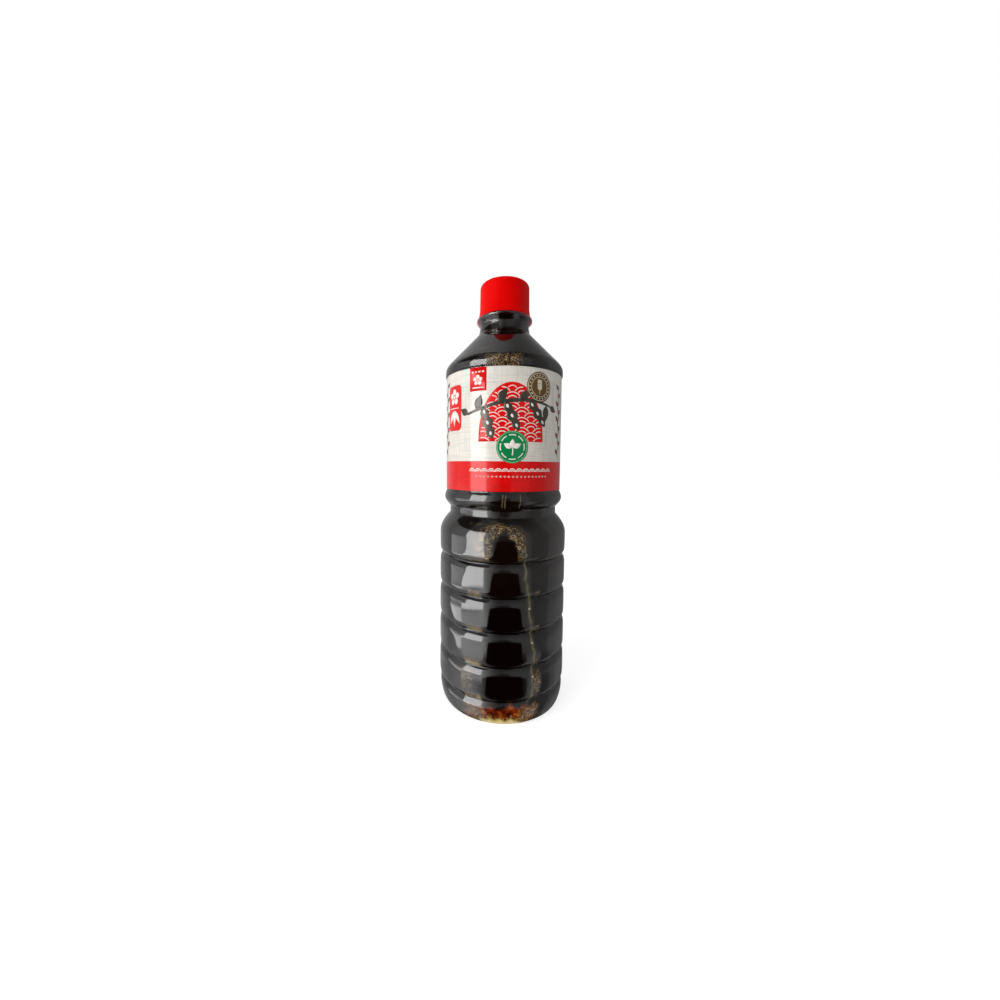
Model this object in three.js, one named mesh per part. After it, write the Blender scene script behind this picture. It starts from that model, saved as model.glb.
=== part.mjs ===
// A one litre soy sauce bottle: a clear ribbed bottle with a waist, a recessed label and a screw cap.
// Millimetres, +Z up, origin on the floor at the middle of the foot.

import * as THREE from "three";

// Round pieces
const SEGMENTS = 36;
const GAP = 0.3;

// Foot and heel
const FOOT_RADIUS = 33.7;
const FOOT_WIDTH = 2.6;
const FOOT_CORNER_RADIUS = 7;
const FOOT_CORNER_TURN = THREE.MathUtils.degToRad(36);
const PUSH_UP_HEIGHT = 9;
const PUSH_UP_POWER = 3.2;
const HEEL_TOP_Z = 21.8;
const HEEL_DRAW_IN = 3.5;
const HEEL_HEIGHT = 20.6;
const HEEL_PLACES_Z = [3.4, 6.4];

// Ribbed body
const BODY_RADIUS = 41;
const GROOVE_COUNT = 5;
const FIRST_GROOVE_Z = 14.6;
const GROOVE_PITCH = 20.25;
const GROOVE_DEPTH = 1.9;
const GROOVE_HALF_WIDTH = 4.1;
const BELLY_RISE = 0.2;

// Places across a groove and its belly, in groove half widths from the groove's middle
const BELLY_PLACE = GROOVE_PITCH / GROOVE_HALF_WIDTH / 2;
const OUTSIDE_PLACES = [-1, -0.45, 0, 0.45, 1, BELLY_PLACE];
const INSIDE_PLACES = [-1, 0, 1];

// Top of the body
const BODY_TOP_Z = 109.4;
const BODY_TOP_FULLNESS = 0.9;

// Waist and the bead above it
const WAIST_RADIUS = 34.55;
const WAIST_LOW_Z = 121.5;
const WAIST_HIGH_Z = 126.1;
const BEAD_RADIUS = 38.1;
const BEAD_Z = 131.8;

// Label panel
const PANEL_LOW_Z = 136.4;
const PANEL_HIGH_Z = 207.2;
const LABEL_RADIUS = 37.2;
const LABEL_THICKNESS = 0.4;
const LABEL_LOW_Z = 136.8;
const LABEL_HIGH_Z = 207.0;
const PANEL_RADIUS = LABEL_RADIUS - LABEL_THICKNESS - GAP;

// Shoulder
const SHOULDER_RADIUS = 37.7;
const SHOULDER_STEP_HEIGHT = 0.9;
const SHOULDER_Z = 210.6;
const CONE_LOW_RADIUS = 35;
const CONE_LOW_Z = 215.7;
const NECK_RADIUS = 16;
const NECK_LOW_Z = 235.2;

// Support ring and mouth
const RING_LOW_Z = 240.6;
const RING_Z = 243.6;
const RING_EDGE_HEIGHT = 0.8;
const RING_TOP_Z = 245;
const RING_RADIUS = 17.8;
const RING_TOP_RADIUS = 17.2;
const FINISH_RADIUS = 13.9;
const MOUTH_Z = 262.5;

// Wall of the bottle
const WALL = 0.6;
const NECK_WALL = 1.8;
const BASE_WALL = 1.2;
const BORE_RADIUS = 12.1;

// Cap
const CAP_LOW_Z = RING_TOP_Z + 0.5;
const CAP_HIGH_Z = 266.8;
const CAP_FOOT_RADIUS = 16.8;
const CAP_FLARE_RADIUS = 16.15;
const CAP_RADIUS = 15.9;
const CAP_TOP_RADIUS = 15.75;
const CAP_FLARE_HEIGHT = 7;
const CAP_EDGE_ROUNDING = 2.2;
const CAP_TOP_THICKNESS = 2.4;

// Sauce, filled up into the neck
const SAUCE_LEVEL_Z = 249;

const clearPlastic = new THREE.MeshStandardMaterial({
  name: "clear_plastic", color: 0xdfe3df, roughness: 0.08, metalness: 0, transparent: true, opacity: 0.3,
});
const soySauce = new THREE.MeshStandardMaterial({
  name: "soy_sauce", color: 0x140704, roughness: 0.1, metalness: 0,
});
const printedPaper = new THREE.MeshStandardMaterial({
  name: "printed_paper", color: 0xe9e3d6, roughness: 0.45, metalness: 0,
});
const redPlastic = new THREE.MeshStandardMaterial({
  name: "red_plastic", color: 0xd80a0a, roughness: 0.35, metalness: 0,
});

// Values from 0 to 1 in equal steps, without the 0.
function steps(count) {
  return Array.from({ length: count }, (_, i) => (i + 1) / count);
}

// How far the wall stands in from the full radius near a groove: a narrow V between two bellies that rise a little.
function grooveDepth(z) {
  let depth = 0;
  for (let i = 0; i < GROOVE_COUNT; i += 1) {
    const away = Math.abs(z - FIRST_GROOVE_Z - i * GROOVE_PITCH);
    const cut = Math.max(1 - away / GROOVE_HALF_WIDTH, 0);
    const belly = Math.max(1 - 2 * away / GROOVE_PITCH, 0);
    depth = Math.max(depth, GROOVE_DEPTH * cut ** 2 + BELLY_RISE * belly ** 2);
  }
  return depth;
}

// The body's radius at a height, from the heel's ellipse up to the straight wall.
function bodyRadius(z) {
  const drop = Math.min(Math.max((HEEL_TOP_Z - z) / HEEL_HEIGHT, 0), 1);
  const heelIn = HEEL_DRAW_IN * (1 - Math.sqrt(1 - drop * drop));
  return BODY_RADIUS - heelIn - grooveDepth(z);
}

// The underside: a shallow push-up inside the flat ring the bottle stands on.
function underside() {
  const reach = FOOT_RADIUS - FOOT_WIDTH;
  const dome = [0, ...steps(4)].map((t) => [reach * t, PUSH_UP_HEIGHT * (1 - t ** PUSH_UP_POWER)]);
  return [...dome, [FOOT_RADIUS, 0]];
}

// The foot's rounded corner and the heel, up to the lowest groove's edge.
function heel() {
  const corner = steps(2).map((t) => {
    const turn = FOOT_CORNER_TURN * t;
    const reach = FOOT_CORNER_RADIUS * Math.sin(turn);
    return [FOOT_RADIUS + reach, FOOT_CORNER_RADIUS * (1 - Math.cos(turn))];
  });
  const middle = HEEL_PLACES_Z.map((z) => [bodyRadius(z), z]);
  return [...corner, ...middle];
}

// The ring grooves and bellies. Each groove has the given places across it, in half widths from its middle.
function grooves(places) {
  const points = [];
  for (let i = 0; i < GROOVE_COUNT; i += 1) {
    for (const place of places) {
      const z = FIRST_GROOVE_Z + i * GROOVE_PITCH + place * GROOVE_HALF_WIDTH;
      points.push([bodyRadius(z), z]);
    }
  }
  return points;
}

// The body's rounded top, the waist and the bead under the label.
function waist() {
  const rounding = steps(5).map((t) => {
    const full = Math.pow(Math.max(Math.cos(t * Math.PI / 2), 0), BODY_TOP_FULLNESS);
    const r = WAIST_RADIUS + (BODY_RADIUS - WAIST_RADIUS) * full;
    return [r, BODY_TOP_Z + (WAIST_LOW_Z - BODY_TOP_Z) * t];
  });
  const rise = steps(3).map((t) => {
    const r = WAIST_RADIUS + (BEAD_RADIUS - WAIST_RADIUS) * Math.sin(t * Math.PI / 2);
    return [r, WAIST_HIGH_Z + (BEAD_Z - WAIST_HIGH_Z) * t];
  });
  const fall = steps(2).map((t) => {
    const r = PANEL_RADIUS + (BEAD_RADIUS - PANEL_RADIUS) * Math.cos(t * Math.PI / 2);
    return [r, BEAD_Z + (PANEL_LOW_Z - BEAD_Z) * t];
  });
  return [[BODY_RADIUS, BODY_TOP_Z], ...rounding, [WAIST_RADIUS, WAIST_HIGH_Z], ...rise, ...fall];
}

// The label panel's top, the shoulder's edge, the cone and the foot of the neck.
function shoulder() {
  const slope = (CONE_LOW_RADIUS - NECK_RADIUS) / (NECK_LOW_Z - CONE_LOW_Z);
  const bendZ = CONE_LOW_Z - (SHOULDER_RADIUS - CONE_LOW_RADIUS) / slope;
  const rounding = steps(4).map((t) => {
    const s = 1 - t;
    const r = s * s * SHOULDER_RADIUS + 2 * s * t * SHOULDER_RADIUS + t * t * CONE_LOW_RADIUS;
    const z = s * s * SHOULDER_Z + 2 * s * t * bendZ + t * t * CONE_LOW_Z;
    return [r, z];
  });
  const edge = [
    [PANEL_RADIUS, PANEL_HIGH_Z],
    [SHOULDER_RADIUS, PANEL_HIGH_Z + SHOULDER_STEP_HEIGHT],
    [SHOULDER_RADIUS, SHOULDER_Z],
  ];
  return [...edge, ...rounding, [NECK_RADIUS, NECK_LOW_Z]];
}

// The outside of the bottle from the foot to the neck, with grooves sampled at the given places.
function skin(places) {
  return [...heel(), ...grooves(places), ...waist(), ...shoulder()];
}

// An outline moved square to itself by a distance, to the left of its direction.
function inset(outline, distance) {
  return outline.map((point, i) => {
    const before = outline[Math.max(i - 1, 0)];
    const after = outline[Math.min(i + 1, outline.length - 1)];
    const run = Math.hypot(after[0] - before[0], after[1] - before[1]);
    const r = point[0] - distance * (after[1] - before[1]) / run;
    const z = point[1] + distance * (after[0] - before[0]) / run;
    return [r, z];
  });
}

// The space inside the bottle, made smaller all round by a distance, from the middle of the base to the bore.
// The wall thickens up the cone, so the skin's last point, at the neck, has a place of its own here.
function cavity(clearance) {
  const floor = underside().map(([r, z]) => [r, z + BASE_WALL + clearance]);
  const side = inset(skin(INSIDE_PLACES), WALL + clearance);
  const neck = [
    [NECK_RADIUS - NECK_WALL - clearance, NECK_LOW_Z - clearance],
    [BORE_RADIUS - clearance, RING_LOW_Z - clearance],
  ];
  return [...floor, ...side.slice(1, -1), ...neck];
}

// A closed solid of revolution about Z, from an outline of radius and height that runs anticlockwise.
function turned(name, outline, material) {
  const points = outline.map(([r, z]) => new THREE.Vector2(r, z));
  const geometry = new THREE.LatheGeometry(points, SEGMENTS);
  geometry.rotateX(Math.PI / 2);
  const mesh = new THREE.Mesh(geometry, material);
  mesh.name = name;
  return mesh;
}

// The bottle's shell, open at the mouth under the cap.
function bottle() {
  const ring = [
    [NECK_RADIUS, RING_LOW_Z],
    [RING_RADIUS, RING_Z],
    [RING_RADIUS, RING_Z + RING_EDGE_HEIGHT],
    [RING_TOP_RADIUS, RING_TOP_Z],
  ];
  const finish = [
    [FINISH_RADIUS, RING_TOP_Z],
    [FINISH_RADIUS, MOUTH_Z],
    [BORE_RADIUS, MOUTH_Z],
  ];
  const outside = [...underside(), ...skin(OUTSIDE_PLACES), ...ring, ...finish];
  return turned("bottle", [...outside, ...cavity(0).reverse()], clearPlastic);
}

// The sauce, which fills the bottle up into the neck.
function sauce() {
  const top = [[BORE_RADIUS - GAP, SAUCE_LEVEL_Z], [0, SAUCE_LEVEL_Z]];
  return turned("sauce", [...cavity(GAP), ...top], soySauce);
}

// The label, a thin sleeve in its recessed panel.
function label() {
  const inner = LABEL_RADIUS - LABEL_THICKNESS;
  const outline = [
    [inner, LABEL_LOW_Z],
    [LABEL_RADIUS, LABEL_LOW_Z],
    [LABEL_RADIUS, LABEL_HIGH_Z],
    [inner, LABEL_HIGH_Z],
    [inner, LABEL_LOW_Z],
  ];
  return turned("label", outline, printedPaper);
}

// The cap, a cup with a flared foot and a rounded top edge, closed over the mouth.
function cap() {
  const bore = FINISH_RADIUS + GAP;
  const roof = CAP_HIGH_Z - CAP_TOP_THICKNESS;
  const rounding = [0, ...steps(4)].map((t) => {
    const turn = t * Math.PI / 2;
    const r = CAP_TOP_RADIUS - CAP_EDGE_ROUNDING * (1 - Math.cos(turn));
    return [r, CAP_HIGH_Z - CAP_EDGE_ROUNDING * (1 - Math.sin(turn))];
  });
  const outline = [
    [0, roof],
    [bore, roof],
    [bore, CAP_LOW_Z],
    [CAP_FOOT_RADIUS, CAP_LOW_Z],
    [CAP_FLARE_RADIUS, CAP_LOW_Z + CAP_FLARE_HEIGHT / 2],
    [CAP_RADIUS, CAP_LOW_Z + CAP_FLARE_HEIGHT],
    ...rounding,
    [0, CAP_HIGH_Z],
  ];
  return turned("cap", outline, redPlastic);
}

const soySauceBottle = new THREE.Group();
soySauceBottle.add(bottle(), sauce(), label(), cap());

export default soySauceBottle;
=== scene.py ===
"""A full one litre soy sauce bottle: clear ribbed shell, dark sauce, wrapped label and red screw cap.

Lengths in the functions below are millimetres, as a bottle maker would give them, and the meshes are
in metres. The label's print is laid out flat: across is the length round the label from its front,
and up is the height.
"""
from math import ceil, cos, hypot, pi, radians, sin, sqrt

import bmesh
import bpy
from mathutils import Matrix, Vector
from mathutils.geometry import tessellate_polygon


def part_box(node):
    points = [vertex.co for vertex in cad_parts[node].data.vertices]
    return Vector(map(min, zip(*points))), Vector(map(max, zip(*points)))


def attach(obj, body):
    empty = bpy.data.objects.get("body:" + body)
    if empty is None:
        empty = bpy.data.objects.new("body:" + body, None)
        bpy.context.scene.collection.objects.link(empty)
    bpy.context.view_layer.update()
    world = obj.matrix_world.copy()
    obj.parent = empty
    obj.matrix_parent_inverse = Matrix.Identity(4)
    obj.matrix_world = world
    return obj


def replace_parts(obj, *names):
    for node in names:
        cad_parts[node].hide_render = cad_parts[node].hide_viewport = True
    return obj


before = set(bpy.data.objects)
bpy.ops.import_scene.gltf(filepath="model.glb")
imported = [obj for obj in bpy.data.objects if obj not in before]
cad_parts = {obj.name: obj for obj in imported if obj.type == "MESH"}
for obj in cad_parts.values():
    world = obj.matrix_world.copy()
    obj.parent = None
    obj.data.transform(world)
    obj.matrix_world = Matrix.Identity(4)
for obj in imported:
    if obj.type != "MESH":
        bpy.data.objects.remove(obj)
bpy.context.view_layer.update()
MM = 0.001

# Sizes read from the frame
BODY_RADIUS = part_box("bottle")[1].x / MM
MOUTH_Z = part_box("bottle")[1].z / MM
LABEL_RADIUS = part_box("label")[1].x / MM
LABEL_LOW_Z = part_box("label")[0].z / MM
LABEL_HIGH_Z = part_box("label")[1].z / MM
CAP_FOOT_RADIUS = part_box("cap")[1].x / MM
CAP_LOW_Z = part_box("cap")[0].z / MM
CAP_HIGH_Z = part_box("cap")[1].z / MM
SAUCE_LEVEL_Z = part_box("sauce")[1].z / MM

# Foot and heel
FOOT_RADIUS = 33.7
FOOT_WIDTH = 2.6
FOOT_CORNER_RADIUS = 7
FOOT_CORNER_TURN = radians(36)
PUSH_UP_HEIGHT = 9
PUSH_UP_POWER = 3.2
HEEL_TOP_Z = 21.8
HEEL_DRAW_IN = 3.5
HEEL_HEIGHT = 20.6
RIB_COUNT = 40
RIB_HEIGHT = 0.5

# Ribbed body
GROOVE_COUNT = 5
FIRST_GROOVE_Z = 14.6
GROOVE_PITCH = 20.25
GROOVE_DEPTH = 1.9
GROOVE_HALF_WIDTH = 4.1
GROOVE_FILLET = 0.25
BELLY_RISE = 0.2
BODY_TOP_Z = 109.4
BODY_TOP_FULLNESS = 0.9

# Waist, bead and label panel
WAIST_RADIUS = 34.55
WAIST_LOW_Z = 121.5
WAIST_HIGH_Z = 126.1
BEAD_RADIUS = 38.1
BEAD_Z = 131.8
PANEL_LOW_Z = 136.4
PANEL_HIGH_Z = 207.2
PANEL_RADIUS = LABEL_RADIUS - 0.4

# Shoulder, neck and support ring
SHOULDER_RADIUS = 37.7
SHOULDER_STEP_HEIGHT = 0.9
SHOULDER_Z = 210.6
CONE_LOW_RADIUS = 35
CONE_LOW_Z = 215.7
NECK_RADIUS = 16.45
NECK_TOP_RADIUS = 15.6
NECK_LOW_Z = 235.2
NECK_FILLET = 1.4
RING_LOW_Z = 240.6
RING_Z = 243.6
RING_EDGE_HEIGHT = 0.8
RING_TOP_Z = 245
RING_RADIUS = 17.8
RING_TOP_RADIUS = 17.2
FINISH_RADIUS = 13.9
BORE_RADIUS = 12.1

# Walls: the sauce's surface lies half way into the shell's wall, so no air gap shows
WALL = 0.6
SAUCE_INSET = 0.35
SAUCE_IN_NECK = 0.2
NECK_WALL = 1.8
BASE_WALL = 1.2

# Cap
CAP_FLARE_RADIUS = 16.15
CAP_RADIUS = 15.9
CAP_TOP_RADIUS = 15.75
CAP_FLARE_HEIGHT = 7
CAP_EDGE_ROUNDING = 2.2
CAP_TOP_THICKNESS = 2.4
CAP_GAP = 0.3
CAP_LIP = 0.35
CAP_DISH = 0.22

# Mould parting line, a fine raised line on two sides of the shell
PARTING_ANGLES = (radians(75), radians(75) + pi)
PARTING_HALF_WIDTH = 0.5
PARTING_HEIGHT = 0.07

# Label
LABEL_THICKNESS = 0.18
LABEL_OVERLAP = 6
BAND_TOP_Z = 154.1
INK_THICKNESS = 0.02
INK_LAYERS = 6
INK_STEP = 1.2
WAVE_LINE = 0.5

# Camera, at the photographed distance and height. Its pixels are those of the photo's 1000 pixel frame.
PHOTO_SIZE = 1000
FOCAL_PX = 364.9
AXIS_PX = (478.5, 485.7)
CAMERA_PLACE = (0, -243, 151.45)
CAMERA_PITCH = -0.0546
CAMERA_YAW = -0.0660
CAMERA_ROLL = 0.0079
SENSOR_WIDTH = 36

# Light of the room by azimuth in degrees, 0 in front of the bottle and positive to the right of it
WALL_LIGHT = (
    (-180, 0.45), (-150, 0.62), (-120, 0.75), (-104, 0.7), (-98, 1.0), (-68, 1.4), (-32, 3.0), (-24, 1.6),
    (-13, 0.6), (0, 0.42), (20, 0.56), (51, 0.54), (55, 0.36), (88, 0.36), (93, 0.5), (120, 0.4),
    (145, 0.22), (180, 0.45),
)
TABLE_LIGHT = (
    (-180, 0.4), (-150, 0.45), (-110, 0.7), (-80, 1.6), (-60, 1.9), (-45, 1.7), (-30, 0.6), (-12, 0.1),
    (46, 0.1), (50, 0.75), (74, 0.75), (79, 0.2), (92, 0.2), (104, 0.36), (125, 0.38), (150, 0.14),
    (180, 0.4),
)
UPWARD_LIGHT = ((0, 1.0), (28, 1.0), (42, 0.75), (52, 0.55), (62, 0.32), (75, 0.2))
DIFFUSE_SHARE = 0.91
AMBIENT = (0.70, 0.70, 0.70)

# The room's patches by azimuth and elevation in degrees, with their brightness
DIM_CORNER = ((-118, -68), (32, 63), 0.08)
OVER_WINDOW = ((-70, -26), (33, 75), 0.4)
TABLE_EDGE = (-30, -26)
WINDOW_RIGHT = (-33, -30.5)
PANE = ((-20.5, 31), 8.5)
UNDER_PANE = ((-31, -20.5), 3.0)
DIM_PANE = ((-20, -3), 2.5)
SILL = ((-28, -20), 5.3)
SCREEN_OVAL = ((7, -42), (36, 36))
STAND_OVAL = ((5, 2), (12, 19))
SCREEN_COLOUR = (0.030, 0.010, 0.008)

# Froth and other marks on the sauce, with its painted highlights, painted reflection and the heel's painted
# glow, by angle in degrees from the front and by height
FROTH_AND_LIGHT_SWAY = 9
ARCH_OUTSIDE = ((-3, 106), (25, 14))
ARCH_INSIDE = ((1.5, 97), (11, 16.5))
TOP_FROTH_Z = (97, 113)
CONE_FROTH_Z = (207, 213)
LEFT_SPECKS = (-30, -17)
RIGHT_SPECKS = (28, 33)
LEFT_PATCH = (-36, -24)
RIGHT_PATCH = (29, 34)
LOWER_PATCH_Z = (20, 32)
STREAK_ANGLE = 17.8
STREAK_LEAN_Z = 107
STREAK_LEAN = 0.155
STREAK_MOST_LEAN = 9.2
GLINT_Z = 8.5
BEAD_LINES = ((-17.5, 0.3), (0.0, 0.45), (2.6, 0.55), (15.5, 0.4))
BEAD_LINES_Z = (128, 134)
PALE_FOOT_TOP = (4.3, 5.4)
YELLOW_TOP = (5.8, 6.6)
FLAMES_LOW = (6.8, 8.6)
FLAMES_TOP = (11.2, 13.6)
SIDE_GLOW_ANGLES = (17, 31)

# Colours of the sauce, of its froth and of the heel's painted glow
LOW_SAUCE = (0.0014, 0.0006, 0.0004)
HIGH_SAUCE = (0.0060, 0.0026, 0.0012)
FROTH_AND_GLOW_COLOURS = ((0.42, (0.008, 0.004, 0.002)), (0.48, (0.10, 0.035, 0.008)), (0.54, (0.26, 0.16, 0.045)),
                 (0.61, (0.45, 0.33, 0.15)), (0.69, (0.75, 0.65, 0.45)))
FLAME_COLOURS = ((0.36, (0.012, 0.002, 0.001)), (0.45, (0.12, 0.010, 0.003)), (0.53, (0.36, 0.045, 0.004)),
                 (0.61, (0.52, 0.15, 0.014)), (0.74, (0.60, 0.32, 0.07)))
BIT_COLOURS = ((0.42, (0.05, 0.010, 0.003)), (0.50, (0.26, 0.09, 0.012)), (0.60, (0.62, 0.42, 0.12)))

# Meshes
ROUND_SEGMENTS = 160
LABEL_COLUMNS = 300
WALL_START_Z = 1.8
WALL_STEP = 0.9
ON_AXIS = 1e-6


def make_camera():
    """The camera at the photo's place, with the small shift that the photo's framing needs."""
    ahead = Vector((
        sin(CAMERA_YAW) * cos(CAMERA_PITCH),
        cos(CAMERA_YAW) * cos(CAMERA_PITCH),
        sin(CAMERA_PITCH),
    ))
    level = Vector((cos(CAMERA_YAW), -sin(CAMERA_YAW), 0))
    above = level.cross(ahead)
    right = level * cos(CAMERA_ROLL) + above * sin(CAMERA_ROLL)
    up = above * cos(CAMERA_ROLL) - level * sin(CAMERA_ROLL)
    data = bpy.data.cameras.new("camera")
    data.sensor_width = SENSOR_WIDTH
    data.lens = FOCAL_PX / PHOTO_SIZE * SENSOR_WIDTH
    data.shift_x = (PHOTO_SIZE / 2 - AXIS_PX[0]) / PHOTO_SIZE
    data.shift_y = (AXIS_PX[1] - PHOTO_SIZE / 2) / PHOTO_SIZE
    data.clip_start = 0.01
    camera = bpy.data.objects.new("camera", data)
    turn = Matrix((right, up, -ahead)).transposed().to_4x4()
    camera.matrix_world = Matrix.Translation(Vector(CAMERA_PLACE) * MM) @ turn
    bpy.context.scene.collection.objects.link(camera)
    bpy.context.scene.camera = camera


class Nodes:
    """A short way to write a node tree."""

    def __init__(self, tree):
        self.tree = tree
        tree.nodes.clear()

    def add(self, kind, **settings):
        node = self.tree.nodes.new("ShaderNode" + kind)
        for key, value in settings.items():
            setattr(node, key, value)
        return node

    def put(self, socket, value):
        """Feeds a socket with another socket or with a plain value."""
        if isinstance(value, bpy.types.NodeSocket):
            self.tree.links.new(value, socket)
        else:
            socket.default_value = value

    def feed(self, node, **inputs):
        """Feeds a node's inputs, named by their words joined by _, and returns its first output."""
        for name, value in inputs.items():
            self.put(node.inputs[name.replace("_", " ")], value)
        return node.outputs[0]

    def math(self, operation, first, second=0.0, third=0.0):
        node = self.add("Math", operation=operation)
        for socket, value in zip(node.inputs, (first, second, third)):
            self.put(socket, value)
        return node.outputs[0]

    def plus(self, first, second):
        return self.math("ADD", first, second)

    def minus(self, first, second):
        return self.math("SUBTRACT", first, second)

    def apart(self, first, second):
        """How far apart two values are."""
        return self.math("ABSOLUTE", self.minus(first, second))

    def times(self, *values):
        """The product of several values."""
        product = values[0]
        for value in values[1:]:
            product = self.math("MULTIPLY", product, value)
        return product

    def largest(self, *values):
        top = values[0]
        for value in values[1:]:
            top = self.math("MAXIMUM", top, value)
        return top

    def ramp(self, value, low, high, out_low=0.0, out_high=1.0):
        """Maps a value's range low to high smoothly onto out_low to out_high."""
        node = self.add("MapRange", interpolation_type="SMOOTHSTEP")
        return self.feed(node, Value=value, From_Min=low, From_Max=high, To_Min=out_low, To_Max=out_high)

    def fall(self, value, low, high):
        """1 below a range and 0 above it, with a smooth fall inside it."""
        return self.ramp(value, low, high, 1.0, 0.0)

    def between(self, value, low, high, soft):
        """1 inside a range and 0 outside it, with soft edges."""
        rise = self.ramp(value, low - soft, low + soft)
        fall = self.fall(value, high - soft, high + soft)
        return self.times(rise, fall)

    def oval(self, x, y, centre, radii):
        """The distance from an oval's centre, 1 on its edge."""
        across = self.math("DIVIDE", self.minus(x, centre[0]), radii[0])
        up = self.math("DIVIDE", self.minus(y, centre[1]), radii[1])
        return self.math("SQRT", self.plus(self.times(across, across), self.times(up, up)))

    def mix(self, factor, first, second):
        node = self.add("Mix", data_type="RGBA")
        self.put(node.inputs[0], factor)
        self.put(node.inputs[6], first if isinstance(first, bpy.types.NodeSocket) else (*first, 1))
        self.put(node.inputs[7], second if isinstance(second, bpy.types.NodeSocket) else (*second, 1))
        return node.outputs[2]

    def stops(self, value, colours):
        """A colour read off a row of (value from 0 to 1, colour) stops."""
        node = self.add("ValToRGB")
        self.put(node.inputs[0], value)
        row = node.color_ramp.elements
        while len(row) < len(colours):
            row.new(1.0)
        for stop, (place, colour) in zip(row, colours):
            stop.position = place
            stop.color = (*colour, 1)
        return node.outputs[0]

    def round_room(self, azimuth, light, peak=4.0):
        """A brightness read off (azimuth, brightness) points."""
        turn = self.math("DIVIDE", self.plus(azimuth, 180), 360)
        grey = self.stops(turn, [((a + 180) / 360, (b / peak,) * 3) for a, b in light])
        return self.times(self.parts(grey)[0], peak)

    def noise(self, vector, scale, detail=3.0, roughness=0.5):
        node = self.add("TexNoise")
        return self.feed(node, Vector=vector, Scale=scale, Detail=detail, Roughness=roughness)

    def place(self):
        """The object's own coordinates, in metres."""
        return self.add("TexCoord").outputs["Object"]

    def parts(self, vector):
        node = self.add("SeparateXYZ")
        self.put(node.inputs[0], vector)
        return node.outputs

    def join(self, x, y, z=0.0):
        node = self.add("CombineXYZ")
        for socket, value in zip(node.inputs, (x, y, z)):
            self.put(socket, value)
        return node.outputs[0]

    def unrolled(self, place):
        """The angle round the bottle in degrees from its front, and the height in millimetres."""
        x, y, z = self.parts(place)
        angle = self.math("ARCTAN2", x, self.times(y, -1.0))
        return self.times(angle, 180 / pi), self.times(z, 1 / MM)

    def bump(self, height, strength, distance):
        return self.feed(self.add("Bump"), Height=height, Strength=strength, Distance=distance)

    def surface(self, **inputs):
        """A Principled shader on the material's output."""
        shader = self.feed(self.add("BsdfPrincipled"), **inputs)
        self.put(self.add("OutputMaterial").inputs["Surface"], shader)


def new_material(name):
    material = bpy.data.materials.new(name)
    material.use_nodes = True
    return material, Nodes(material.node_tree)


def clear_plastic():
    """Blown clear plastic: slow waves in the wall and faint scuffs."""
    material, n = new_material("clear_plastic")
    place = n.place()
    normal = n.bump(n.noise(place, 45, 1), 0.3, 0.0006)
    scuffs = n.ramp(n.noise(place, 90, 3, 0.5), 0.54, 0.78, 0.015, 0.05)

    # Painted red light: the thick support ring holds some of the cap's red light along its edges
    height = n.unrolled(place)[1]
    edge = n.ramp(n.add("LayerWeight").outputs["Facing"], 0.35, 0.85)
    cap_red_light = n.times(n.between(height, RING_LOW_Z + 0.6, RING_TOP_Z + 1, 0.6), edge, 0.6)
    tint = n.mix(n.ramp(cap_red_light, 0.0, 0.25), (0.965, 0.975, 0.965), (0.80, 0.12, 0.19))
    n.surface(Base_Color=tint, Roughness=scuffs, IOR=1.57, Transmission_Weight=n.minus(1.0, cap_red_light),
              Normal=normal)
    return material


class SaucePlaces:
    """Where a point of the sauce lies, plainly and with a sway that makes the edges of the froth and of the
    painted light ragged.
    """

    def __init__(self, n):
        self.place = n.place()
        self.angle, self.height = n.unrolled(self.place)
        self.wander = n.noise(self.place, 160, 4)
        self.sway = n.minus(self.wander, 0.5)
        self.rough_angle = n.plus(self.angle, n.times(self.sway, FROTH_AND_LIGHT_SWAY))
        self.rough_height = n.plus(self.height, n.times(self.sway, FROTH_AND_LIGHT_SWAY))
        self.around = n.math("ABSOLUTE", self.angle)


def froth_and_glow_grains(n, place):
    """Grains of cream, gold and red brown in dark sauce: froth seen through the wall, and the grain of the
    heel's painted glow.
    """
    return n.stops(n.noise(place, 1200, 3, 0.6), FROTH_AND_GLOW_COLOURS)


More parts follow.
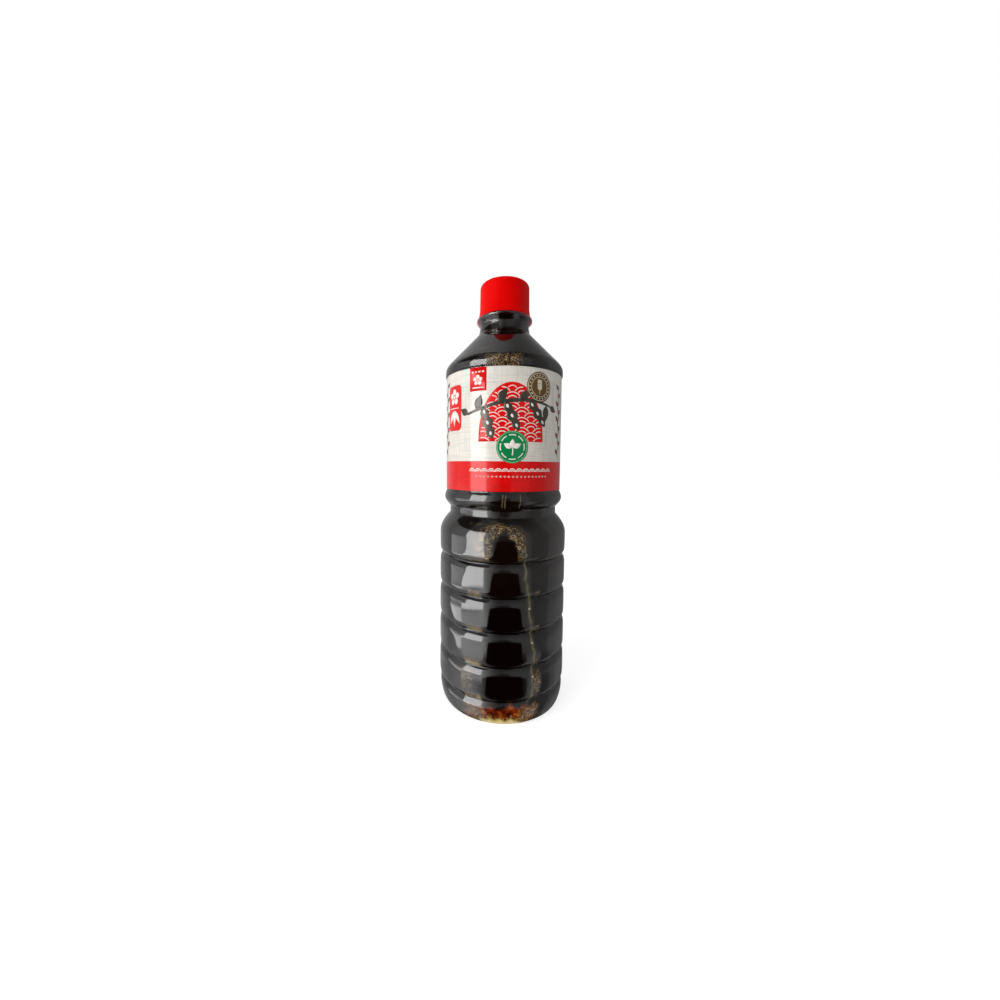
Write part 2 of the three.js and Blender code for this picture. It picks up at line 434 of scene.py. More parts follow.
def with_froth_and_highlights(n, at, colour):
    """Adds the froth under the body's top and under the cone, golden specks on the grooves, patches low on
    the body, and gold lines on the grooves that are a painted highlight.
    """
    patches = n.ramp(n.noise(at.place, 60, 3), 0.50, 0.66)
    broken = n.ramp(n.noise(at.place, 260, 3), 0.34, 0.56, 0.45, 1.0)

    # Under the body's top: an arch on the front, thinner patches all round
    arch = n.fall(n.oval(at.rough_angle, at.rough_height, *ARCH_OUTSIDE), 0.75, 1.05)
    hollow = n.ramp(n.oval(at.rough_angle, at.rough_height, *ARCH_INSIDE), 0.95, 1.1)
    above_groove = n.ramp(at.height, 96.5, 99)
    ring = n.times(n.between(at.rough_height, *TOP_FROTH_Z, 3), patches, 0.3, n.ramp(at.around, 60, 85))
    top_froth = n.times(n.largest(n.times(arch, hollow, broken), ring), above_groove)

    # Under the cone
    front = n.fall(n.apart(at.angle, -0.5), 11, 19)
    cone_froth = n.times(n.between(at.rough_height, *CONE_FROTH_Z, 1.2),
                         n.largest(n.times(patches, 0.15), front))

    # On the grooves to both sides of the front, and patches low on the body
    above = n.math("MODULO", n.minus(at.height, FIRST_GROOVE_Z), GROOVE_PITCH)
    low_in_segment = n.times(n.between(above, 0.9, 4.6, 1.0), n.fall(at.height, 92, 95),
                             n.ramp(at.height, 13, 15))
    left = n.between(at.rough_angle, *LEFT_SPECKS, 2.5)
    right = n.between(at.rough_angle, *RIGHT_SPECKS, 1.5)
    specks = n.times(low_in_segment, n.largest(left, n.times(right, 0.4)), broken)
    both_sides = n.largest(n.between(at.rough_angle, *LEFT_PATCH, 2),
                           n.between(at.rough_angle, *RIGHT_PATCH, 1.5))
    lower_patches = n.times(n.between(at.rough_height, *LOWER_PATCH_Z, 3), both_sides, 0.65)

    froth_and_specks = n.largest(top_froth, cone_froth, specks, lower_patches)
    colour = n.mix(froth_and_specks, colour, froth_and_glow_grains(n, at.place))
    # A painted highlight: gold lines along the grooves on the left side
    groove_highlight = n.times(n.between(above, 1.3, 2.6, 0.7), left, n.ramp(at.height, 30, 75, 1.0, 0.1),
                        n.ramp(n.noise(at.place, 180, 3), 0.38, 0.56, 0.1, 0.8))
    return n.mix(groove_highlight, colour, (0.80, 0.62, 0.22))


def with_reflected_streak(n, at, colour):
    """Adds a painted reflection of a thin pale streak that wanders down the front's right side, with a soft
    halo and painted glints that make it brightest just above each groove.
    """
    lean = n.math("MINIMUM", n.times(n.minus(STREAK_LEAN_Z, at.height), STREAK_LEAN), STREAK_MOST_LEAN)
    heel_turn = n.times(n.math("MINIMUM", n.minus(at.height, 17), 0.0), 1.05)
    middle = n.plus(n.plus(n.largest(lean, -1.0), STREAK_ANGLE), heel_turn)
    ripple = n.times(n.minus(n.noise(at.place, 105, 3), 0.5), 9)
    off = n.apart(n.plus(at.angle, ripple), middle)
    down = n.times(n.fall(at.height, 103, 108), n.ramp(at.height, 5, 8))
    streak_halo = n.times(n.ramp(off, 0.6, 4.2, 0.30, 0.0), n.fall(at.height, 90, 96), down)
    reflected_streak = n.times(n.fall(off, 0.2, 1.5), down, n.ramp(n.noise(at.place, 240, 2), 0.35, 0.6, 0.2, 0.65))
    in_segment = n.math("MODULO", n.minus(at.height, GLINT_Z), GROOVE_PITCH)
    glint = n.times(n.between(in_segment, 0.5, 1.3, 0.4), n.fall(off, 0.3, 1.3), n.fall(at.height, 76, 80))
    colour = n.mix(streak_halo, colour, (0.13, 0.115, 0.05))
    colour = n.mix(reflected_streak, colour, (0.24, 0.215, 0.12))
    return n.mix(glint, colour, (0.9, 0.8, 0.55))


def with_bead_lines(n, at, colour):
    """Adds short upright pale lines behind the bead."""
    waved = n.plus(at.angle, n.times(at.sway, 3))
    behind_bead = n.between(at.rough_height, *BEAD_LINES_Z, 1.2)
    for line_angle, strength in BEAD_LINES:
        beside = n.fall(n.apart(waved, line_angle), 0.25, 1.0)
        colour = n.mix(n.times(beside, behind_bead, strength), colour, (0.34, 0.27, 0.17))
    return colour


def with_heel_glow(n, at, colour, dark):
    """Adds painted light at the heel, where light shows through the thin sauce: an amber and red glow in
    flame shapes over a pale lit foot, with a granular gold glow to both sides.
    """
    flames = n.noise(n.join(n.times(at.angle, 0.15), n.times(at.height, 0.19)), 1.0, 4, 0.62)
    bits = n.noise(n.join(n.times(at.angle, 0.6), n.times(at.height, 0.7)), 1.0, 3, 0.6)
    bit_colour = n.stops(bits, BIT_COLOURS)
    scallops = n.math("ABSOLUTE", n.math("SINE", n.times(at.angle, pi / 180 * RIB_COUNT / 2)))
    peaks = n.plus(at.height, n.plus(n.times(scallops, 1.6), n.times(at.sway, 5)))
    heel_glow = n.mix(n.ramp(peaks, *FLAMES_LOW), bit_colour, n.stops(flames, FLAME_COLOURS))
    heel_glow = n.mix(n.ramp(peaks, *YELLOW_TOP), (0.66, 0.50, 0.19), heel_glow)
    heel_glow = n.mix(n.ramp(peaks, *PALE_FOOT_TOP), (0.98, 0.84, 0.46), heel_glow)
    heel_glow = n.mix(n.ramp(at.rough_height, *FLAMES_TOP), heel_glow, dark)
    in_front = n.fall(n.apart(at.rough_angle, 3), 17, 23)
    elsewhere = n.times(n.ramp(n.noise(at.place, 28, 2), 0.52, 0.62), n.ramp(at.around, 100, 115), 0.8)
    low = n.fall(at.height, 14, 15.5)
    colour = n.mix(n.times(n.largest(in_front, elsewhere), low), colour, heel_glow)

    # The painted gold glow to both sides of the heel
    side_angle = n.math("ABSOLUTE", n.plus(at.angle, n.times(at.sway, 22)))
    sides = n.times(n.between(side_angle, *SIDE_GLOW_ANGLES, 3), n.fall(at.rough_height, 11, 13.5))
    side_glow = n.mix(n.ramp(flames, 0.42, 0.56, 0.35, 0.85), froth_and_glow_grains(n, at.place), bit_colour)
    return n.mix(n.times(sides, 0.9), colour, n.mix(0.3, side_glow, (0.20, 0.06, 0.012)))


def soy_sauce():
    """Near black sauce, with a painted amber glow at the heel where light shows through the thinning sauce,
    painted highlights and a painted reflection on the ribs, and froth caught on the wall.
    """
    material, n = new_material("soy_sauce")
    at = SaucePlaces(n)
    dark = n.mix(n.ramp(at.height, 60, 100), LOW_SAUCE, HIGH_SAUCE)
    colour = with_froth_and_highlights(n, at, dark)
    colour = with_reflected_streak(n, at, colour)
    colour = with_bead_lines(n, at, colour)
    colour = with_heel_glow(n, at, colour, dark)
    n.surface(Base_Color=colour, Roughness=n.ramp(at.wander, 0.2, 0.8, 0.45, 0.6), Specular_IOR_Level=0.0)
    return material


def satin_red():
    """Moulded red plastic with a fine grain."""
    material, n = new_material("red_plastic")
    place = n.place()
    colour = n.mix(n.ramp(n.noise(place, 60, 3), 0.3, 0.7), (0.65, 0.0006, 0.0004), (0.71, 0.0012, 0.0008))
    n.surface(Base_Color=colour, Roughness=n.ramp(n.noise(place, 400, 4), 0.3, 0.7, 0.45, 0.55), IOR=1.45,
              Specular_IOR_Level=0.12, Specular_Tint=(1.0, 0.08, 0.06, 1),
              Normal=n.bump(n.noise(place, 2500, 3), 0.15, 0.00004))
    return material


def label_film(n, place):
    """The roughness and normal that the label's whole print shares, of a clear film over paper."""
    film = n.noise(place, 110, 2)
    return n.ramp(film, 0.3, 0.7, 0.10, 0.14), n.bump(film, 0.04, 0.0001)


def linen():
    """Cream print of woven linen: fine grey threads of uneven length both ways."""
    material, n = new_material("linen_print")
    place = n.place()
    angle, height = n.unrolled(place)
    across = n.times(angle, LABEL_RADIUS * pi / 180)

    def threads(fineness, stretch, shifts, high):
        ways = ((fineness, stretch, shifts[0]), (stretch, fineness, shifts[1]))
        places = [n.join(n.times(across, a), n.times(height, b), shift) for a, b, shift in ways]
        return n.largest(*[n.ramp(n.noise(place, 1.0, 2), 0.5, high) for place in places])

    fine = threads(1.5, 0.05, (0.0, 7.0), 0.68)
    wide = threads(0.5, 0.03, (3.0, 5.0), 0.62)
    cloud = n.noise(n.join(n.times(across, 0.06), n.times(height, 0.06)), 1.0, 2)
    paper = n.mix(n.ramp(cloud, 0.35, 0.65), (0.71, 0.67, 0.60), (0.75, 0.71, 0.645))
    colour = n.mix(n.times(fine, 0.52), paper, (0.45, 0.42, 0.385))
    colour = n.mix(n.times(wide, 0.13), colour, (0.50, 0.46, 0.42))
    roughness, normal = label_film(n, place)
    n.surface(Base_Color=colour, Roughness=roughness, IOR=1.45, Normal=normal)
    return material


def ink(name, colour, spread=0.08):
    """A flat printed colour that varies a little, under the label's film."""
    material, n = new_material(name)
    place = n.place()
    deep = [c * (1 - spread) for c in colour]
    pale = [c * (1 + spread) for c in colour]
    shade = n.mix(n.ramp(n.noise(place, 500, 4), 0.35, 0.65), deep, pale)
    roughness, normal = label_film(n, place)
    tint = [0.6 + 0.4 * c / max(colour) for c in colour]
    n.surface(Base_Color=shade, Roughness=roughness, IOR=1.45, Specular_Tint=(*tint, 1), Normal=normal)
    return material


def link_mesh(name, points, faces, materials):
    """A smooth mesh that rides on the bottle, from points in millimetres."""
    mesh = bpy.data.meshes.new(name)
    mesh.from_pydata([Vector(p) * MM for p in points], [], faces)
    for material in materials:
        mesh.materials.append(material)
    mesh.shade_smooth()
    piece = bpy.data.objects.new(name, mesh)
    bpy.context.scene.collection.objects.link(piece)
    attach(piece, "root")
    return piece


def steps(count):
    """Values from 0 to 1 in equal steps, without the 0."""
    return [(i + 1) / count for i in range(count)]


def part_way(start, end, t):
    return start + (end - start) * t


def groove_depth(z):
    """How far the wall stands in near a ring groove: a narrow V between two bellies."""
    depth = 0
    for i in range(GROOVE_COUNT):
        away = abs(z - FIRST_GROOVE_Z - i * GROOVE_PITCH)
        cut = max(1 - hypot(away, GROOVE_FILLET) / GROOVE_HALF_WIDTH, 0)
        belly = max(1 - 2 * away / GROOVE_PITCH, 0)
        depth = max(depth, GROOVE_DEPTH * cut ** 2 + BELLY_RISE * belly ** 2)
    return depth


def body_radius(z):
    drop = min(max((HEEL_TOP_Z - z) / HEEL_HEIGHT, 0), 1)
    heel_in = HEEL_DRAW_IN * (1 - sqrt(1 - drop * drop))
    return BODY_RADIUS - heel_in - groove_depth(z)


def underside():
    """The push-up and the flat ring that the bottle stands on."""
    reach = FOOT_RADIUS - FOOT_WIDTH
    dome = [(reach * t, PUSH_UP_HEIGHT * (1 - t ** PUSH_UP_POWER)) for t in [0] + steps(18)]
    return dome + [(reach + FOOT_WIDTH / 2, 0), (FOOT_RADIUS, 0)]


def ribbed_wall():
    """The heel's corner and the ribbed body up to its rounded top."""
    points = []
    for t in steps(6):
        turn = FOOT_CORNER_TURN * t
        points.append((FOOT_RADIUS + FOOT_CORNER_RADIUS * sin(turn),
                       FOOT_CORNER_RADIUS * (1 - cos(turn))))
    count = int((BODY_TOP_Z - WALL_START_Z) / WALL_STEP) + 1
    heights = [WALL_START_Z + WALL_STEP * i for i in range(count)]
    for i in range(GROOVE_COUNT):
        middle = FIRST_GROOVE_Z + i * GROOVE_PITCH
        heights += [middle + GROOVE_FILLET * k for k in (-3, -2, -1, -0.5, 0, 0.5, 1, 2, 3)]
    return points + [(body_radius(z), z) for z in sorted(set(round(z, 3) for z in heights))]


def waist():
    """The body's rounded top, the waist and the bead under the label."""
    points = []
    for t in steps(18):
        full = max(cos(t * pi / 2), 0) ** BODY_TOP_FULLNESS
        points.append((part_way(WAIST_RADIUS, BODY_RADIUS, full), part_way(BODY_TOP_Z, WAIST_LOW_Z, t)))
    points += [(WAIST_RADIUS, part_way(WAIST_LOW_Z, WAIST_HIGH_Z, t)) for t in steps(4)]
    for t in steps(14):
        r = part_way(WAIST_RADIUS, BEAD_RADIUS, sin(t * pi / 2))
        points.append((r, part_way(WAIST_HIGH_Z, BEAD_Z, t)))
    for t in steps(10):
        r = part_way(PANEL_RADIUS, BEAD_RADIUS, cos(t * pi / 2))
        points.append((r, part_way(BEAD_Z, PANEL_LOW_Z, t)))
    return points


def curve(start, control, end, count):
    """Points of a bend from start to end that leaves and arrives towards its control point."""
    points = []
    for t in steps(count):
        s = 1 - t
        points.append(tuple(s * s * a + 2 * s * t * b + t * t * c for a, b, c in zip(start, control, end)))
    return points


def shoulder():
    """The panel's top edge, the shoulder's rounding and the cone up to the neck's fillet."""
    slope = (CONE_LOW_RADIUS - NECK_RADIUS) / (NECK_LOW_Z - CONE_LOW_Z)
    bend_z = CONE_LOW_Z - (SHOULDER_RADIUS - CONE_LOW_RADIUS) / slope
    points = [(PANEL_RADIUS, PANEL_HIGH_Z)]
    for t in steps(5):
        blend = (1 - cos(t * pi)) / 2
        r = part_way(PANEL_RADIUS, SHOULDER_RADIUS, blend)
        points.append((r, PANEL_HIGH_Z + SHOULDER_STEP_HEIGHT * t))
    points.append((SHOULDER_RADIUS, SHOULDER_Z))
    points += curve(points[-1], (SHOULDER_RADIUS, bend_z), (CONE_LOW_RADIUS, CONE_LOW_Z), 14)
    fillet_start = (NECK_RADIUS + NECK_FILLET * slope, NECK_LOW_Z - NECK_FILLET)
    for t in steps(10):
        points.append((part_way(CONE_LOW_RADIUS, fillet_start[0], t),
                       part_way(CONE_LOW_Z, fillet_start[1], t)))
    taper = (NECK_RADIUS - NECK_TOP_RADIUS) / (RING_LOW_Z - NECK_LOW_Z)
    fillet_end = (NECK_RADIUS - NECK_FILLET * taper, NECK_LOW_Z + NECK_FILLET)
    return points + curve(fillet_start, (NECK_RADIUS, NECK_LOW_Z), fillet_end, 6)


def skin():
    return ribbed_wall() + waist() + shoulder()


def inset(outline, distance):
    """An outline moved square to itself, to the left of its direction."""
    moved_points = []
    for i, (r, z) in enumerate(outline):
        before = outline[max(i - 1, 0)]
        after = outline[min(i + 1, len(outline) - 1)]
        run = hypot(after[0] - before[0], after[1] - before[1])
        moved_points.append((r - distance * (after[1] - before[1]) / run,
                             z + distance * (after[0] - before[0]) / run))
    return moved_points


def cavity(depth, base_depth, neck_extra):
    """The outline of a space inside the shell, at a depth into its wall."""
    floor = [(r, z + base_depth) for r, z in underside()]
    side = [p for p in inset(skin(), depth) if base_depth + 0.5 < p[1] < NECK_LOW_Z - NECK_FILLET]
    bore = BORE_RADIUS + neck_extra
    return floor + side + [(NECK_RADIUS - NECK_WALL + neck_extra, NECK_LOW_Z), (bore, RING_LOW_Z)]


def support_ring():
    """The ring under the cap, with soft edges."""
    under = [(NECK_TOP_RADIUS, RING_LOW_Z - 0.4)]
    under += curve(under[0], (NECK_TOP_RADIUS - 0.1, RING_LOW_Z + 0.6), (RING_RADIUS, RING_Z), 10)
    edge = [(RING_RADIUS, RING_Z + RING_EDGE_HEIGHT)]
    return under + edge + curve(edge[0], (RING_RADIUS, RING_TOP_Z), (RING_TOP_RADIUS, RING_TOP_Z), 4)


def turned(name, outline, material, shape=None, extra_angles=()):
    """A closed solid of revolution. shape may move a point by its angle, radius and height."""
    angles = [2 * pi * i / ROUND_SEGMENTS for i in range(ROUND_SEGMENTS)]
    angles = sorted(angles + list(extra_angles))
    points, rings = [], []
    for r, z in outline:
        if r < ON_AXIS:
            rings.append([len(points)])
            points.append((0, 0, z))
            continue
        rings.append(range(len(points), len(points) + len(angles)))
        for angle in angles:
            radius, height = shape(angle, r, z) if shape else (r, z)
            points.append((radius * sin(angle), -radius * cos(angle), height))
    if outline[0][0] > ON_AXIS:
        rings.append(rings[0])
    faces = []
    for low, high in zip(rings, rings[1:]):
        for i in range(len(angles)):
            j = (i + 1) % len(angles)
            if len(low) == 1:
                faces.append((low[0], high[j], high[i]))
            elif len(high) == 1:
                faces.append((low[i], low[j], high[0]))
            else:
                faces.append((low[i], low[j], high[j], high[i]))
    return link_mesh(name, points, faces, [material])


def shell_shape(angle, r, z):
    """The ribs under the base, and the parting line's fine ridge on the outside."""
    reach = FOOT_RADIUS - FOOT_WIDTH
    if z < PUSH_UP_HEIGHT and r < reach:
        slope = max(0, 1 - abs(r / reach - 0.8) / 0.2)
        return r, z + RIB_HEIGHT * slope * (0.5 + 0.5 * cos(RIB_COUNT * angle))
    for middle in PARTING_ANGLES:
        away = abs(angle - middle) * r / PARTING_HALF_WIDTH
        if away < 1 and z > 1 and r > FINISH_RADIUS + 1 and not PANEL_LOW_Z < z < PANEL_HIGH_Z:
            return r + PARTING_HEIGHT * (1 - away ** 2), z
    return r, z


def make_shell(material):
    """The clear shell, open at the mouth under the cap."""
    finish = [(FINISH_RADIUS, RING_TOP_Z), (FINISH_RADIUS, MOUTH_Z), (BORE_RADIUS, MOUTH_Z)]
    outside = underside() + skin() + support_ring() + finish
    inside = cavity(WALL, BASE_WALL, 0)
    fine = [middle + k * PARTING_HALF_WIDTH / 2 / BODY_RADIUS
            for middle in PARTING_ANGLES for k in (-2, -1, 0, 1, 2)]
    shell = turned("bottle_shell", outside + inside[::-1], material, shell_shape, fine)
    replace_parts(shell, "bottle")


def make_sauce(material):
    """The sauce up into the neck, half way into the shell's wall."""
    top = [(BORE_RADIUS + SAUCE_IN_NECK, SAUCE_LEVEL_Z), (0, SAUCE_LEVEL_Z)]
    outline = cavity(SAUCE_INSET, BASE_WALL * 0.6, SAUCE_IN_NECK) + top
    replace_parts(turned("sauce_fill", outline, material), "sauce")


def make_cap(material):
    """The cap: a cup with a flared foot, soft edges and a slightly dished top."""
    bore = FINISH_RADIUS + CAP_GAP
    roof = CAP_HIGH_Z - CAP_TOP_THICKNESS
    outline = [(0, roof), (bore - 0.4, roof), (bore, roof - 0.4)]
    outline += [(bore, CAP_LOW_Z + 0.2), (bore + 0.2, CAP_LOW_Z)]
    foot = (CAP_FOOT_RADIUS - CAP_LIP, CAP_LOW_Z)
    lip_end = (CAP_FOOT_RADIUS, CAP_LOW_Z + CAP_LIP)
    flare_end = (CAP_RADIUS, CAP_LOW_Z + CAP_FLARE_HEIGHT)
    outline += [foot] + curve(foot, (CAP_FOOT_RADIUS, CAP_LOW_Z), lip_end, 4)
    outline += curve(lip_end, (CAP_FLARE_RADIUS - 0.2, CAP_LOW_Z + CAP_FLARE_HEIGHT / 2), flare_end, 10)
    straight = CAP_HIGH_Z - CAP_EDGE_ROUNDING
    outline += [(part_way(CAP_RADIUS, CAP_TOP_RADIUS, t), part_way(flare_end[1], straight, t))
                for t in steps(6)]
    for t in steps(10):
        turn = t * pi / 2
        outline.append((CAP_TOP_RADIUS - CAP_EDGE_ROUNDING * (1 - cos(turn)),
                        CAP_HIGH_Z - CAP_EDGE_ROUNDING * (1 - sin(turn))))
    outline += [(CAP_TOP_RADIUS * part, CAP_HIGH_Z - CAP_DISH * sunk)
                for part, sunk in ((0.8, 0.25), (0.7, 0.8), (0.4, 1), (0, 1))]
    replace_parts(turned("cap_cup", outline, material), "cap")


def on_label(across, height, radius):
    """A place on the label's curve, from the flat layout."""
    angle = across / LABEL_RADIUS
    return (radius * sin(angle), -radius * cos(angle), height)


def make_label(paper, band):
    """The label, a strip wrapped once round with its end lapped over its start at the back."""
    length = 2 * pi * LABEL_RADIUS + LABEL_OVERLAP
    heights = [LABEL_LOW_Z, LABEL_LOW_Z + 0.3, BAND_TOP_Z, LABEL_HIGH_Z - 0.3, LABEL_HIGH_Z]
    in_band = [1 if z <= BAND_TOP_Z else 0 for z in heights[1:]]
    rows, column = len(heights), 2 * len(heights)
    points, faces, slots = [], [], []
    for i in range(LABEL_COLUMNS + 1):
        along = length * i / LABEL_COLUMNS
        tuck = max(0, 1 - along / (LABEL_OVERLAP * 1.6))
        sunk = LABEL_THICKNESS * 1.1 * tuck * tuck * (3 - 2 * tuck)
        outer = LABEL_RADIUS - INK_THICKNESS * INK_LAYERS - sunk
        for radius in (outer, outer - LABEL_THICKNESS):
            points += [on_label(along - length / 2, z, radius) for z in heights]
    for i in range(LABEL_COLUMNS):
        a, b = i * column, (i + 1) * column
        for k in range(rows - 1):
            faces.append((a + k, b + k, b + k + 1, a + k + 1))
            faces.append((a + rows + k + 1, b + rows + k + 1, b + rows + k, a + rows + k))
            slots += [in_band[k]] * 2
        faces.append((a, a + rows, b + rows, b))
        faces.append((a + rows - 1, b + rows - 1, b + column - 1, a + column - 1))
        slots += [1, 0]
    for k in range(rows - 1):
        last = LABEL_COLUMNS * column
        faces.append((k, k + 1, rows + k + 1, rows + k))
        faces.append((last + rows + k, last + rows + k + 1, last + k + 1, last + k))
        slots += [in_band[k]] * 2
    sleeve = link_mesh("label_sleeve", points, faces, [paper, band])
    for face, index in zip(sleeve.data.polygons, slots):
        face.material_index = index
    round_faces_only(sleeve)
    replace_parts(sleeve, "label")


def round_faces_only(piece):
    """Shades smooth only the faces that follow the label's curve."""
    for face in piece.data.polygons:
        outward = Vector((face.center.x, face.center.y, 0)).normalized()
        face.use_smooth = abs(face.normal.dot(outward)) > 0.9


def print_shapes(name, shapes, layer, material):
    """Flat shapes printed on the label. Each is a list of outlines, first its edge and then its holes."""
    outer = LABEL_RADIUS - INK_THICKNESS * (INK_LAYERS - layer)
    inner = LABEL_RADIUS - INK_THICKNESS * (INK_LAYERS + 1)
    points, faces = [], []
    for outlines in shapes:
        flat = [[Vector((x, y, 0)) for x, y in outline] for outline in outlines]
        corners = [p for outline in flat for p in outline]
        work = bmesh.new()
        verts = [work.verts.new(p) for p in corners]
        for triangle in tessellate_polygon(flat):
            if len(set(triangle)) == 3:
                work.faces.new([verts[k] for k in triangle])
        low = min(p.x for p in corners)
        high = max(p.x for p in corners)
        for k in range(ceil(low / INK_STEP), ceil(high / INK_STEP)):
            everything = work.verts[:] + work.edges[:] + work.faces[:]
            bmesh.ops.bisect_plane(work, geom=everything, plane_co=(k * INK_STEP, 0, 0), plane_no=(1, 0, 0))
        bmesh.ops.dissolve_degenerate(work, dist=1e-5, edges=work.edges[:])
        work.normal_update()
        for face in work.faces:
            if face.normal.z < 0:
                face.normal_flip()
        work.verts.index_update()
        start, count = len(points), len(work.verts)
        points += [on_label(v.co.x, v.co.y, outer) for v in work.verts]
        points += [on_label(v.co.x, v.co.y, inner) for v in work.verts]
        for face in work.faces:
            ids = [start + v.index for v in face.verts]
            faces.append(ids)
            faces.append([k + count for k in reversed(ids)])
        for edge in work.edges:
            if len(edge.link_faces) == 1:
                loop = edge.link_loops[0]
                a, b = start + loop.vert.index, start + loop.link_loop_next.vert.index
                faces.append([b, a, count + a, count + b])
        work.free()
    round_faces_only(link_mesh(name, points, faces, [material]))


def arc(x, y, radius, start, end, count=24):
    """Points of an arc, its angles in degrees."""
    turns = [radians(start + (end - start) * i / count) for i in range(count + 1)]
    return [(x + radius * cos(t), y + radius * sin(t)) for t in turns]


def circle(x, y, radius, count=48):
    return arc(x, y, radius, 0, 360, count)[:-1]


def ring(x, y, outer, inner):
    return [circle(x, y, outer), circle(x, y, inner)]


def arc_strip(x, y, outer, inner, start, end, count=24):
    """A bent bar between two radii."""
    return [arc(x, y, outer, start, end, count) + arc(x, y, inner, end, start, count)]


def box(x0, y0, x1, y1, corner=0.0):
    """A rectangle, with round corners where asked."""
    if corner == 0:
        return [[(x0, y0), (x1, y0), (x1, y1), (x0, y1)]]
    left, right, low, high = x0 + corner, x1 - corner, y0 + corner, y1 - corner
    points = []
    for start, x, y in ((-90, right, low), (0, right, high), (90, left, high), (180, left, low)):
        points += arc(x, y, corner, start, start + 90, 6)
    return [points]


def placed(outline, x, y, degrees=0.0):
    """An outline turned and put in place."""
    c, s = cos(radians(degrees)), sin(radians(degrees))
    return [(x + px * c - py * s, y + px * s + py * c) for px, py in outline]


def leaf(length, width, count=14):
    """A pointed leaf along X from its stalk end."""
    half = [width / 2 * max(sin(pi * (i / count) ** 0.85), 0) ** 1.25 for i in range(count + 1)]
    upper = [(length * i / count, half[i]) for i in range(count + 1)]
    return upper + [(px, -py) for px, py in upper[-2:0:-1]]


def pod(length, width, beans):
    """A bean pod along X: bulges for its beans and a pointed tip."""
    count = 16 * beans
    upper = []
    for i in range(count + 1):
        t = i / count
        taper = sin(pi * t) ** 0.45 if 0 < i < count else 0
        bulge = 0.82 - 0.18 * cos(2 * pi * beans * t)
        upper.append((length * t, width / 2 * taper * bulge))
    return upper + [(px, -py) for px, py in upper[-2:0:-1]]


def stroke(points, widths):
    """A brush stroke along points, as wide as asked at its start, middle and end."""
    left_side, right_side = [], []
    last = len(points) - 1
    for i, (x, y) in enumerate(points):
        ahead = points[min(i + 1, last)]
        behind = points[max(i - 1, 0)]
        run = hypot(ahead[0] - behind[0], ahead[1] - behind[1])
        t = 2 * i / last
        if t < 1:
            width = part_way(widths[0], widths[1], t)
        else:
            width = part_way(widths[1], widths[2], t - 1)
        side = ((behind[1] - ahead[1]) / run * width / 2, (ahead[0] - behind[0]) / run * width / 2)
        left_side.append((x + side[0], y + side[1]))
        right_side.append((x - side[0], y - side[1]))
    return left_side + right_side[::-1]


def blossom(x, y, radius, petals=5):
    """Round petals about a centre, as separate shapes."""
    shapes = [[circle(x, y, radius * 0.2, 16)]]
    for k in range(petals):
        turn = radians(90 + 360 / petals * k)
        petal_x = x + radius * 0.62 * cos(turn)
        petal_y = y + radius * 0.62 * sin(turn)
        shapes.append([circle(petal_x, petal_y, radius * 0.34, 20)])
    return shapes


def hill_of_waves(x, low, half_width, height, scale_radius):
    """A round hill, and the arcs of a traditional wave pattern inside it."""
    hill = [(x + half_width * cos(t), low + height * max(sin(t), 0) ** 0.9)
            for t in [pi * i / 60 for i in range(61)]]

    def inside(px, py, margin):
        up = (py - low) / (height - margin)
        if not margin * 0.4 < py - low or up >= 1:
            return False
        return abs(px - x) < (half_width - margin) * sqrt(1 - up ** 2.2)

    rows = []
    for row in range(-1, int(height / scale_radius * 2) + 1):
        shift = scale_radius if row % 2 else 0
        rows.append([(x + shift + 2 * scale_radius * k, low + row * scale_radius / 2) for k in range(-5, 5)])
    arcs = []
    for r, row in enumerate(rows):
        in_front = [place for lower in rows[max(r - 2, 0):r] for place in lower]
        for cx, cy in row:
            for reach in (0.9, 0.55):
                run = []
                for px, py in arc(cx, cy, scale_radius * reach, 0, 180, 36) + [(0, -1)]:
                    hidden = any(hypot(px - fx, py - fy) < scale_radius * 1.03 for fx, fy in in_front)
                    if not hidden and inside(px, py, 1.0):
                        run.append((px, py))
                        continue
                    if len(run) > 3:
                        arcs.append([stroke(run, (WAVE_LINE,) * 3)])
                    run = []
    return hill, arcs


def print_hill(red, cream, charcoal):
    """The hill of waves in the label's middle, with a sprig of bean pods in front of it."""
    hill, arcs = hill_of_waves(5, 165.2, 19.5, 33, 5.6)
    print_shapes("hill_field", [[hill]], 1, red)
    print_shapes("hill_waves", arcs, 2, cream)
    stem = [(-22 + 53 * t, 181 + 8.5 * sin(2.3 * t) - 1.5 * t) for t in [0] + steps(24)]
    sprig = [[stroke(stem, (1.3, 2.4, 1.0))]]
    pods = ((-12, 184.8, -72, 19, 6.8), (1, 187.6, -64, 18, 6.6), (15, 188.4, -52, 18, 6.6))
    for x, y, turn, length, width in pods:
        sprig.append([placed(pod(length, width, 3), x, y, turn)])
    leaves = ((-21.5, 181, 150, 7, 4.2), (-16, 183.3, 70, 9, 5), (-3, 187, 58, 9.5, 5),
              (9, 188.4, 40, 9, 4.6), (30, 186, -20, 7, 3.8), (27, 186.6, -95, 10, 4.8))
    for x, y, turn, length, width in leaves:
        sprig.append([placed(leaf(length, width), x, y, turn)])
    print_shapes("sprig", sprig, 3, charcoal)
    bean = [(1.15 * px, 0.7 * py) for px, py in circle(0, 0, 1, 20)]
    beans = []
    for x, y, turn, length, width in pods:
        c, s = cos(radians(turn)), sin(radians(turn))
        for t in (1 / 6, 1 / 2, 5 / 6):
            beans.append([placed(bean, x + length * t * c, y + length * t * s, turn)])
    print_shapes("sprig_beans", beans, 4, cream)


